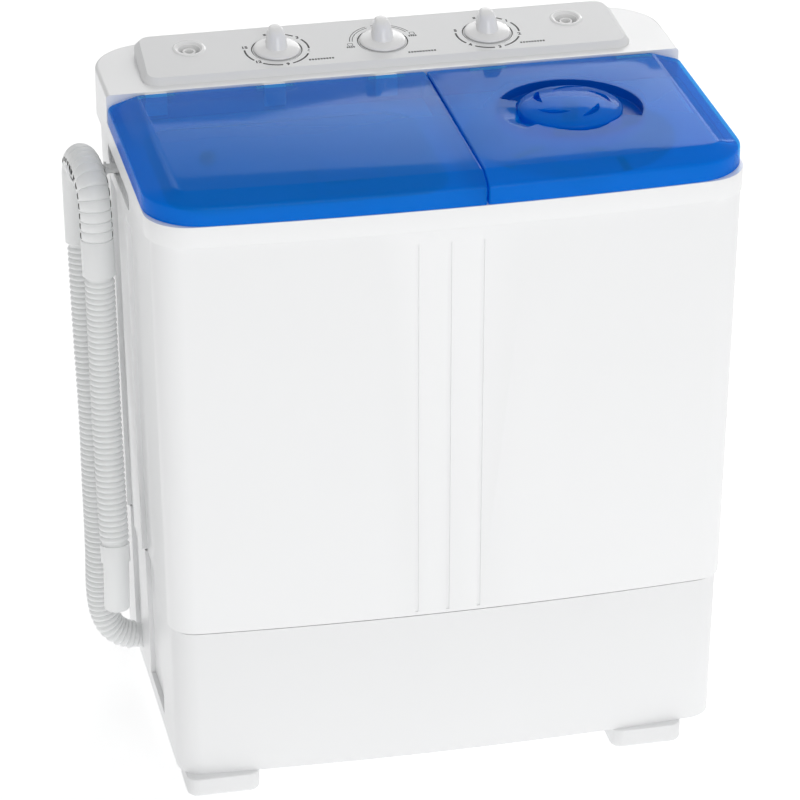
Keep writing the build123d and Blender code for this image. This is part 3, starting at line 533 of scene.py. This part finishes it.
def gooseneck():
    """Bend guide over the top: plain cuffs, then ribs with a row of slots down each edge, painted
    on as near-black painted shadow, not cut.
    """
    line = smooth_line(BEND)
    length = line_length(line)
    ribbed = length - REAR_CUFF - FRONT_CUFF
    count = round(ribbed / BAND_PITCH)
    pitch = ribbed / count
    rear, front, end = REAR_CUFF / MM, (length - FRONT_CUFF) / MM, length / MM
    stations = [(0.0, CUFF_EDGE_RADIUS), (CUFF_EDGE, CUFF_RADIUS)]
    stations += [(rear - 9, CUFF_RADIUS), (rear - 4, 16.6)]
    for rib in range(count):
        stations += [((REAR_CUFF + pitch * (rib + share)) / MM, radius) for share, radius in BAND]
    stations += [(front, BAND[0][1]), (front + 0.8, 16.7), (front + 1.6, CUFF_RADIUS)]
    stations += [(end - CUFF_EDGE, CUFF_RADIUS), (end, CUFF_EDGE_RADIUS)]
    distances = [distance * MM for distance, radius in stations]
    radii = {distance: radius * MM for distance, (whole, radius) in zip(distances, stations)}

    def radius_at(distance, turn):
        return radii[distance]

    # Faces where a slot would be take the near-black material: painted shadow, no opening is cut.
    def is_slot_shadow(distance, turn):
        phase = (distance - REAR_CUFF) / pitch % 1
        beside = min(abs(turn - place) for place in SLOT_TURNS) < SLOT_HALF_WIDTH
        return beside and REAR_CUFF < distance < length - FRONT_CUFF and 0.25 < phase < 0.75

    mesh = hose_mesh("hose_gooseneck", line, distances, radius_at, (1, 0, 0), 48, is_slot_shadow)
    made = piece("bend_guide", mesh, "root", "hose_fitting", [PAINTS["hose_fitting"], SHADOW])
    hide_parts("hose_gooseneck")
    return made


bend_guide = gooseneck()
riser, riser_line, riser_length = ribbed_hose("drain_hose_riser", RISER, (0, 1, 0))
tail, tail_line, tail_length = ribbed_hose("drain_hose_tail", TAIL, (1, 0, 0))

# ---- Lids ---------------------------------------------------------------------------------

wash_low, wash_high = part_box("wash_lid")
spin_low, spin_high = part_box("spin_lid")
dome_low, dome_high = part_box("vent_knob")
LID_TOP = wash_high.z
FRONT_BOW = 11.9 * MM
HALF_WIDTH = spin_high.x
LID_WALL = 2.5 * MM
FRONT_CORNER, BACK_CORNER, GAP_CORNER = 55 * MM, 8 * MM, 2.0 * MM
SIDE_BEVEL, FRONT_BEVEL = 29 * MM, 21 * MM
VENT_CENTRE = (dome_low + dome_high) / 2
TRENCH_RADIUS = 73 * MM
DOME_RADIUS = (dome_high.x - dome_low.x) / 2
VENT_FLOOR = LID_TOP - 10.2 * MM
LID_PROFILE = (  # share of the bevel's width, and mm below the lid's flat top
    (0.0, 29.0),
    (0.0, 13.6),
    (0.008, 12.2),
    (0.03, 10.9),
    (0.07, 9.7),
    (0.13, 8.8),
    (0.35, 6.6),
    (0.62, 3.95),
    (0.90, 1.15),
    (0.95, 0.62),
    (1.0, 0.25),
    (1.06, 0.0),
)
LID_DEPTH = LID_PROFILE[0][1]


def lid_loop(low, high, bevelled_left, share, height, offset):
    """One level of a lid's outline: bowed front, bevelled on its outer side and its front."""
    side = SIDE_BEVEL * share + offset
    gap = 1.4 * MM * max(0.0, (share - 0.9) / 0.16) + offset
    front_inset = FRONT_BEVEL * share + offset
    back_inset = 4 * MM * share + offset
    left, right = (side, gap) if bevelled_left else (gap, side)
    outer_front = max(FRONT_CORNER - 1.45 * side, 6 * MM)
    outer_back = max(BACK_CORNER - 0.1 * side, 3 * MM)
    radii = (
        (outer_front, GAP_CORNER, GAP_CORNER, outer_back)
        if bevelled_left
        else (GAP_CORNER, outer_front, outer_back, GAP_CORNER)
    )
    middle = (low.y + high.y) / 2
    plan = rounded(
        low.x + left, high.x - right, low.y + front_inset, high.y - back_inset, radii, 14, 26
    )
    return [
        (x, y + (FRONT_BOW * (x / HALF_WIDTH) ** 2 if y < middle else 0), height) for x, y in plan
    ]


def lid_shell(name, low, high, bevelled_left):
    """Hollow lid: outer skin, then inner skin, joined round the lower edge."""
    loops = [
        lid_loop(low, high, bevelled_left, share, LID_TOP - drop * MM, 0.0)
        for share, drop in reversed(LID_PROFILE)
    ]
    loops += [
        lid_loop(low, high, bevelled_left, share, LID_TOP - drop * MM - LID_WALL, LID_WALL)
        for share, drop in LID_PROFILE
        if drop < LID_DEPTH
    ]
    rim = lid_loop(low, high, bevelled_left, 0.0, LID_TOP - LID_DEPTH * MM, LID_WALL)
    loops.insert(len(LID_PROFILE), rim)
    return loft(name, loops)


def cut(made, cutter):
    """Takes one mesh object out of another, for good."""
    step = made.modifiers.new("cut", "BOOLEAN")
    step.object = cutter
    step.operation = "DIFFERENCE"
    step.solver = "EXACT"
    depsgraph = bpy.context.evaluated_depsgraph_get()
    shaped = bpy.data.meshes.new_from_object(made.evaluated_get(depsgraph))
    made.modifiers.remove(step)
    made.data = shaped
    bpy.data.objects.remove(cutter)


def loose(name, mesh):
    made = bpy.data.objects.new(name, mesh)
    bpy.context.scene.collection.objects.link(made)
    return made


def lids():
    mesh = lid_shell("wash_lid_shell", wash_low, wash_high, True)
    wash = piece("wash_lid_shell", mesh, "wash_lid", "lid_blue")
    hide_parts("wash_lid")
    mesh = lid_shell("spin_lid_shell", spin_low, spin_high, False)
    spin = loose("spin_lid_rough", mesh)
    reach = TRENCH_RADIUS + LID_WALL
    walls = [(reach, LID_TOP - 20 * MM), (reach, LID_TOP + 20 * MM)]
    hole = turned("vent_hole", walls, VENT_CENTRE, 128)
    cut(spin, loose("vent_hole", hole))
    spin_piece = piece("spin_lid_shell", spin.data, "spin_lid", "lid_blue")
    bpy.data.objects.remove(spin)
    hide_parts("spin_lid")


TRENCH = (radians(-30), radians(150))  # angles from +X that each feature spans
SCOOP = (radians(168), radians(220))
NOTCH = (radians(238), radians(302))


def swell(turn, span):
    """Nothing outside a span of angles, rising to 1 in its middle."""
    start, end = span
    return sin(pi * (turn - start) / (end - start)) if start < turn < end else 0.0


def vent_cup():
    """Seat of the vent dome, with a trench round it from ten o'clock to four. The trench and notch
    walls and floor are painted a darker blue as painted shade.
    """
    steps, edge = 144, 0.6 * MM
    outer, inner = TRENCH_RADIUS, DOME_RADIUS + 1.2 * MM
    columns, painted_shade_columns = [], []
    for step in range(steps):
        turn = (2 * pi * step / steps + pi / 6) % (2 * pi) - pi / 6
        trench = TRENCH[0] <= turn <= TRENCH[1]
        scoop, notch = swell(turn, SCOOP), swell(turn, NOTCH)
        wall = outer if trench else inner + 6 * MM * notch
        columns.append((turn, wall, 0.0 if trench else scoop))
        painted_shade_columns.append(trench or notch > 0)
    points, faces, paints = [], [], []
    for turn, wall, scoop in columns:
        profile = (
            (outer + LID_WALL, LID_TOP - LID_WALL),
            (outer + LID_WALL, LID_TOP),
            (wall + edge + 17 * MM * scoop, LID_TOP),
            (wall, LID_TOP - edge - 5 * MM * scoop),
            (wall, VENT_FLOOR + edge),
            (wall - edge, VENT_FLOOR),
            (inner - edge - 1 * MM, VENT_FLOOR),
            (8 * MM, VENT_FLOOR),
            (8 * MM, VENT_FLOOR - LID_WALL),
            (outer + LID_WALL, VENT_FLOOR - LID_WALL),
        )
        for radius, height in profile:
            points.append(
                (VENT_CENTRE.x + radius * cos(turn), VENT_CENTRE.y + radius * sin(turn), height)
            )
    per = len(points) // steps
    for step in range(steps):
        after = (step + 1) % steps
        for row in range(per):
            below = (row + 1) % per
            faces.append(
                (step * per + row, after * per + row, after * per + below, step * per + below)
            )
            # Walls and floor of the trench and notch take the darker blue: painted shade in the
            # recess.
            paints.append(1 if (painted_shade_columns[step] or painted_shade_columns[after]) and 2 <= row <= 5 else 0)
    mesh = mesh_from("vent_cup", points, faces, paints)
    piece("vent_cup", mesh, "spin_lid", "lid_blue", [PAINTS["lid_blue"], PAINTED_SHADE_BLUE])


def leaf(start, end, belly, width, low, high, steps=14):
    """Upright cutter with a curved leaf outline between two points."""
    start, end = Vector(start), Vector(end)
    way = (end - start).normalized()
    side = Vector((-way.y, way.x))
    upper, lower = [], []
    for step in range(steps + 1):
        share = step / steps
        spine = start.lerp(end, share) + side * belly * sin(pi * share)
        half = width / 2 * sin(pi * share) ** 0.8 + 0.2 * MM
        upper.append(spine + side * half)
        lower.append(spine - side * half)
    plan = upper + lower[::-1]
    return loft("leaf", [[(*point, height) for point in plan] for height in (low, high)])


DOME_PROFILE = (  # share of the dome's radius, and mm below its top
    (1.0, 19.8),
    (1.0, 10.5),
    (0.985, 8.6),
    (0.95, 6.9),
    (0.88, 5.2),
    (0.76, 3.5),
    (0.6, 2.0),
    (0.42, 0.9),
    (0.22, 0.25),
    (0.02, 0.0),
)
DOME_SLOTS = 5
SLOT_REACH, SLOT_LENGTH, SLOT_BELLY, SLOT_WIDTH = 31 * MM, 34 * MM, 4 * MM, 6.5 * MM
SLOT_LEAN = radians(69)  # from straight outwards, backwards


def vent_dome():
    """Turning dome with five curved slots like a pinwheel."""
    radius, top, foot = DOME_RADIUS, dome_high.z, VENT_FLOOR + 0.4 * MM
    outside = [(radius * share, top - drop * MM) for share, drop in DOME_PROFILE]
    inside = [(max(r - LID_WALL, 0.3 * MM), z - LID_WALL) for r, z in outside[1:]]
    outside[0] = (radius, foot)
    inside.insert(0, (radius - LID_WALL, foot))
    mesh = turned("vent_dome", outside[::-1] + inside, VENT_CENTRE, 96)
    dome = loose("vent_dome_rough", mesh)
    for index in range(DOME_SLOTS):
        turn = radians(360 / DOME_SLOTS * index + 8)
        lean = turn - SLOT_LEAN
        middle = VENT_CENTRE.xy + Vector((cos(turn), sin(turn))) * SLOT_REACH
        half = Vector((cos(lean), sin(lean))) * SLOT_LENGTH / 2
        slot = leaf(middle - half, middle + half, SLOT_BELLY, SLOT_WIDTH, foot, top + 5 * MM)
        cut(dome, loose("slot", slot))
    made = piece("vent_dome", dome.data, "vent_knob", "lid_blue")
    bpy.data.objects.remove(dome)
    hub = turned(
        "vent_hub",
        [(7.8 * MM, VENT_FLOOR - 5 * MM), (7.8 * MM, top - 4 * MM), (4 * MM, top - 3 * MM)],
        VENT_CENTRE,
        40,
    )
    # The hub under the dome takes the same darker blue: painted shade.
    piece("vent_hub", hub, "vent_knob", "lid_blue", [PAINTED_SHADE_BLUE])
    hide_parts("vent_knob")


lids()
vent_cup()
vent_dome()

# ---- Controls -----------------------------------------------------------------------------

PANEL_SLOPE = atan(0.117)
PANEL_MIDDLE = Vector((-0.002, 0.1313, 0.684))
PANEL_TURN = Matrix.Rotation(PANEL_SLOPE, 4, "X")


def on_panel(x, y, height=0.0):
    """Matrix of a place on the panel's face: x to the right, y up the slope, z out of it."""
    return Matrix.Translation(PANEL_MIDDLE) @ PANEL_TURN @ Matrix.Translation((x, y, height))


def fin_loop(height, share, steps=20):
    """Outline of the knob's grip at one level: a broad teardrop that draws in and leans back."""
    front, back = -11 * MM + 9 * MM * share, 21.5 * MM - 4 * MM * share
    wide, narrow = 11.2 * MM - 3.6 * MM * share, 9.4 * MM - 3.0 * MM * share
    loop = []
    for step in range(steps + 1):
        turn = pi + pi * step / steps
        loop.append((wide * cos(turn), front + wide + wide * sin(turn), height))
    for step in range(steps + 1):
        turn = pi * step / steps
        loop.append((narrow * cos(turn), back - narrow + narrow * sin(turn), height))
    return loop


KNOB_SKIRT = (
    (20.0, 0.3),
    (23.9, 0.3),
    (24.2, 0.7),
    (24.1, 1.6),
    (23.6, 2.3),
    (22.6, 2.8),
    (21.6, 3.1),
    (12.0, 3.8),
    (1.0, 4.0),
)
KNOB_GRIP = (
    (3.0, -0.15),
    (3.5, -0.06),
    (4.6, 0.0),
    (9.0, 0.2),
    (13.0, 0.42),
    (16.6, 0.66),
    (18.6, 0.84),
    (20.0, 1.02),
    (21.0, 1.3),
    (21.5, 1.62),
    (21.6, 1.9),
)


def knob_mesh(name):
    """Round skirt with a rolled edge, and a broad grip across its back half."""
    mesh = turned(name, [(radius * MM, height * MM) for radius, height in KNOB_SKIRT], (0, 0), 96)
    fin = loft(name + "_grip", [fin_loop(height * MM, share) for height, share in KNOB_GRIP])
    shaped = bmesh.new()
    shaped.from_mesh(mesh)
    shaped.from_mesh(fin)
    shaped.to_mesh(mesh)
    shaped.free()
    bpy.data.meshes.remove(fin)
    return mesh


def flat_arc(radius, thickness, start, end, height=0.05 * MM):
    """Printed arc on the panel, between two clockwise angles from the top, in degrees."""
    steps = max(4, round(abs(end - start) / 3))
    inner, outer = [], []
    for step in range(steps + 1):
        turn = radians(90 - (start + (end - start) * step / steps))
        for side, found in ((-0.5, inner), (0.5, outer)):
            reach = radius + side * thickness
            found.append((reach * cos(turn), reach * sin(turn)))
    plan = outer + inner[::-1]
    return loft("arc", [[(*point, level) for point in plan] for level in (0.0, height)])


def printed(name, meshes, place):
    """Several flat marks joined into one printed piece on the panel."""
    shaped = bmesh.new()
    for mesh, matrix in meshes:
        mesh.transform(matrix)
        shaped.from_mesh(mesh)
        bpy.data.meshes.remove(mesh)
    joined = bpy.data.meshes.new(name)
    shaped.to_mesh(joined)
    shaped.free()
    joined.transform(place)
    piece(name, joined, "root", "panel_grey", [INK])


def numeral(text, radius, clock, size=6.8 * MM):
    """A number on a dial, standing upright at a clock angle."""
    data = bpy.data.curves.new("numeral", "FONT")
    data.body = text
    data.size = size
    data.align_x = "CENTER"
    data.align_y = "CENTER"
    data.extrude = 0.02 * MM
    data.offset = 0.28 * MM
    holder = bpy.data.objects.new("numeral", data)
    mesh = bpy.data.meshes.new_from_object(holder)
    bpy.data.objects.remove(holder)
    turn = radians(90 - clock)
    return mesh, Matrix.Translation((radius * cos(turn), radius * sin(turn), 0.03 * MM))


INK_HEIGHT = 0.05 * MM


def frame_mark(x, y, size, thickness=0.6 * MM):
    """Small open square, as a tub seen from above."""
    half = size / 2
    outer = rounded(x - half, x + half, y - half, y + half, (1.2 * MM,) * 4, 4)
    half -= thickness
    inner = rounded(x - half, x + half, y - half, y + half, (0.9 * MM,) * 4, 4)
    count = len(outer)
    points = [(*place, INK_HEIGHT) for place in outer + inner]
    afters = [(step + 1) % count for step in range(count)]
    faces = [(step, after, count + after, count + step) for step, after in enumerate(afters)]
    return mesh_from("frame_mark", points, faces), Matrix.Identity(4)


def bar_mark(x, y, length, count):
    """Row of short dashes, standing for a dial's caption."""
    marks = []
    step = length / count
    for index in range(count):
        left = x - length / 2 + index * step
        plan = rounded(left, left + 0.7 * step, y - 1.5 * MM, y + 1.5 * MM, (0.3 * MM,) * 4, 2)
        mesh = loft("dash", [[(*point, level) for point in plan] for level in (0.0, INK_HEIGHT)])
        marks.append((mesh, Matrix.Identity(4)))
    return marks


DIAL_RADIUS = 33.3 * MM
NUMERAL_CLOCKS = (50, 105, 170, 225, 285)
KNOB_PITCH = 111.4 * MM
# Thin near-black ring just below the panel face round each knob: painted shadow in the gap.
RECESS_SHADOW_RING = ((25.5, -0.74), (25.5, -0.6), (26.45, -0.6), (26.45, -0.74))
COLLAR = (
    (12.0, -3.0),
    (12.2, -0.4),
    (13.4, 0.9),
    (15.0, 1.3),
    (16.4, 0.9),
    (17.4, 0.05),
    (17.0, -0.3),
)
# Floor ring down in each inlet cup, painted darker grey as painted shade.
CUP_FLOOR_SHADE = ((7.1, -10.9), (7.1, -10.4), (11.3, -10.4), (11.3, -10.9))
INLET_X, INLET_Y = 200 * MM, 16.5 * MM


def timer_dial(name, x, numbers):
    """Thick ring broken by its numbers."""
    gaps = [(16, 0)] + [(clock, 9.5) for clock in NUMERAL_CLOCKS]
    marks = []
    for (clock, half), (after, after_half) in zip(gaps, gaps[1:]):
        arc = flat_arc(DIAL_RADIUS, 1.9 * MM, clock + half, after - after_half)
        marks.append((arc, Matrix.Identity(4)))
    for number, clock in zip(numbers, NUMERAL_CLOCKS):
        marks.append(numeral(number, DIAL_RADIUS, clock))
    marks.append((flat_arc(DIAL_RADIUS, 3.4 * MM, 346, 351), Matrix.Identity(4)))
    marks += bar_mark(42 * MM, -27.5 * MM, 27 * MM, 9)
    printed(name, marks, on_panel(x, 0))


def selector_dial():
    """Two thin rings with a tub mark at each end."""
    marks = []
    for radius in (34.2 * MM, 31.4 * MM):
        for start, end in ((-84, -20), (-10, 62)):
            marks.append((flat_arc(radius, 0.75 * MM, start, end), Matrix.Identity(4)))
    for clock in (-95, 72):
        turn = radians(90 - clock)
        x, y = 35 * MM * cos(turn), 35 * MM * sin(turn)
        marks.append(frame_mark(x, y, 5.6 * MM))
        marks += bar_mark(x, y - 5 * MM, 9 * MM, 4)
    marks += bar_mark(0, 35.5 * MM, 6 * MM, 3)
    marks += bar_mark(36 * MM, -29 * MM, 30 * MM, 10)
    printed("selector_marks", marks, on_panel(0, 0))


def controls():
    for name, x in (("wash_timer", -KNOB_PITCH), ("selector", 0.0), ("spin_timer", KNOB_PITCH)):
        mesh = knob_mesh(name + "_grip_knob")
        mesh.transform(on_panel(x, 0, 0))
        made = piece(name + "_grip_knob", mesh, name, "knob_white")
        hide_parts(name + "_knob")
        # Dark ring round the knob: painted shadow in its gap.
        ring = open_ring(name + "_recess_shadow", RECESS_SHADOW_RING)
        ring.transform(on_panel(x, 0))
        piece(name + "_recess_shadow", ring, "root", "panel_grey", [SHADOW])
    timer_dial("wash_dial_marks", -KNOB_PITCH, ("3", "6", "9", "12", "15"))
    timer_dial("spin_dial_marks", KNOB_PITCH, ("1", "2", "3", "4", "5"))
    selector_dial()


def inlet_collars():
    """Raised ring round each water inlet, and the floor of its cup in darker grey as painted
    shade.
    """
    for side, name in ((-1, "wash"), (1, "spin")):
        place = on_panel(side * INLET_X, INLET_Y)
        mesh = open_ring(name + "_inlet_collar", COLLAR)
        mesh.transform(place)
        piece(name + "_inlet_collar", mesh, "root", "knob_white")
        # The cup floor takes the darker inner grey: painted shade inside the cup.
        mesh = open_ring(name + "_inlet_floor_shade", CUP_FLOOR_SHADE)
        mesh.transform(place)
        piece(name + "_inlet_floor_shade", mesh, "root", "inner_grey")


controls()
inlet_collars()

# ---- CAD nodes ----------------------------------------------------------------------------

SOFT_EDGES = {  # bevel widths in mm
    "cabinet_shell": 1.2,
    "base_pan": 1.2,
    "top_cover": 1.0,
    "control_panel": 0.9,
    "feet": 1.5,
    "grip_cups": 0.6,
    "back_cover": 0.4,
    "back_screws": 0.4,
    "hanger_clip": 0.8,
    "hose_end": 0.6,
    "hose_outlet": 0.5,
    "mains_gland": 0.6,
    "wash_tub": 1.0,
    "pulsator": 1.2,
    "lint_filter": 0.8,
    "spin_inner_cover": 0.6,
    "spin_basket": 0.5,
    "balance_ring": 1.0,
    "water_inlets": 0.5,
}


def dress_cad():
    """Each CAD node takes its slot's material, and the visible ones get softened edges."""
    for entry in frame["record"]["subparts"]:
        node = frame["nodes"][entry["node"]]
        node.data.materials.clear()
        node.data.materials.append(PAINTS[entry["material_slot"]])
        if entry["node"] in SOFT_EDGES:
            weld = node.modifiers.new("weld", "WELD")
            weld.merge_threshold = 0.01 * MM
            flat = node.modifiers.new("flat", "DECIMATE")
            flat.decimate_type = "DISSOLVE"
            flat.angle_limit = radians(0.5)
            bevel = node.modifiers.new("bevel", "BEVEL")
            bevel.width = SOFT_EDGES[entry["node"]] * MM
            bevel.segments = 3
            bevel.limit_method = "ANGLE"
            bevel.angle_limit = radians(38)
            bevel.harden_normals = False


dress_cad()
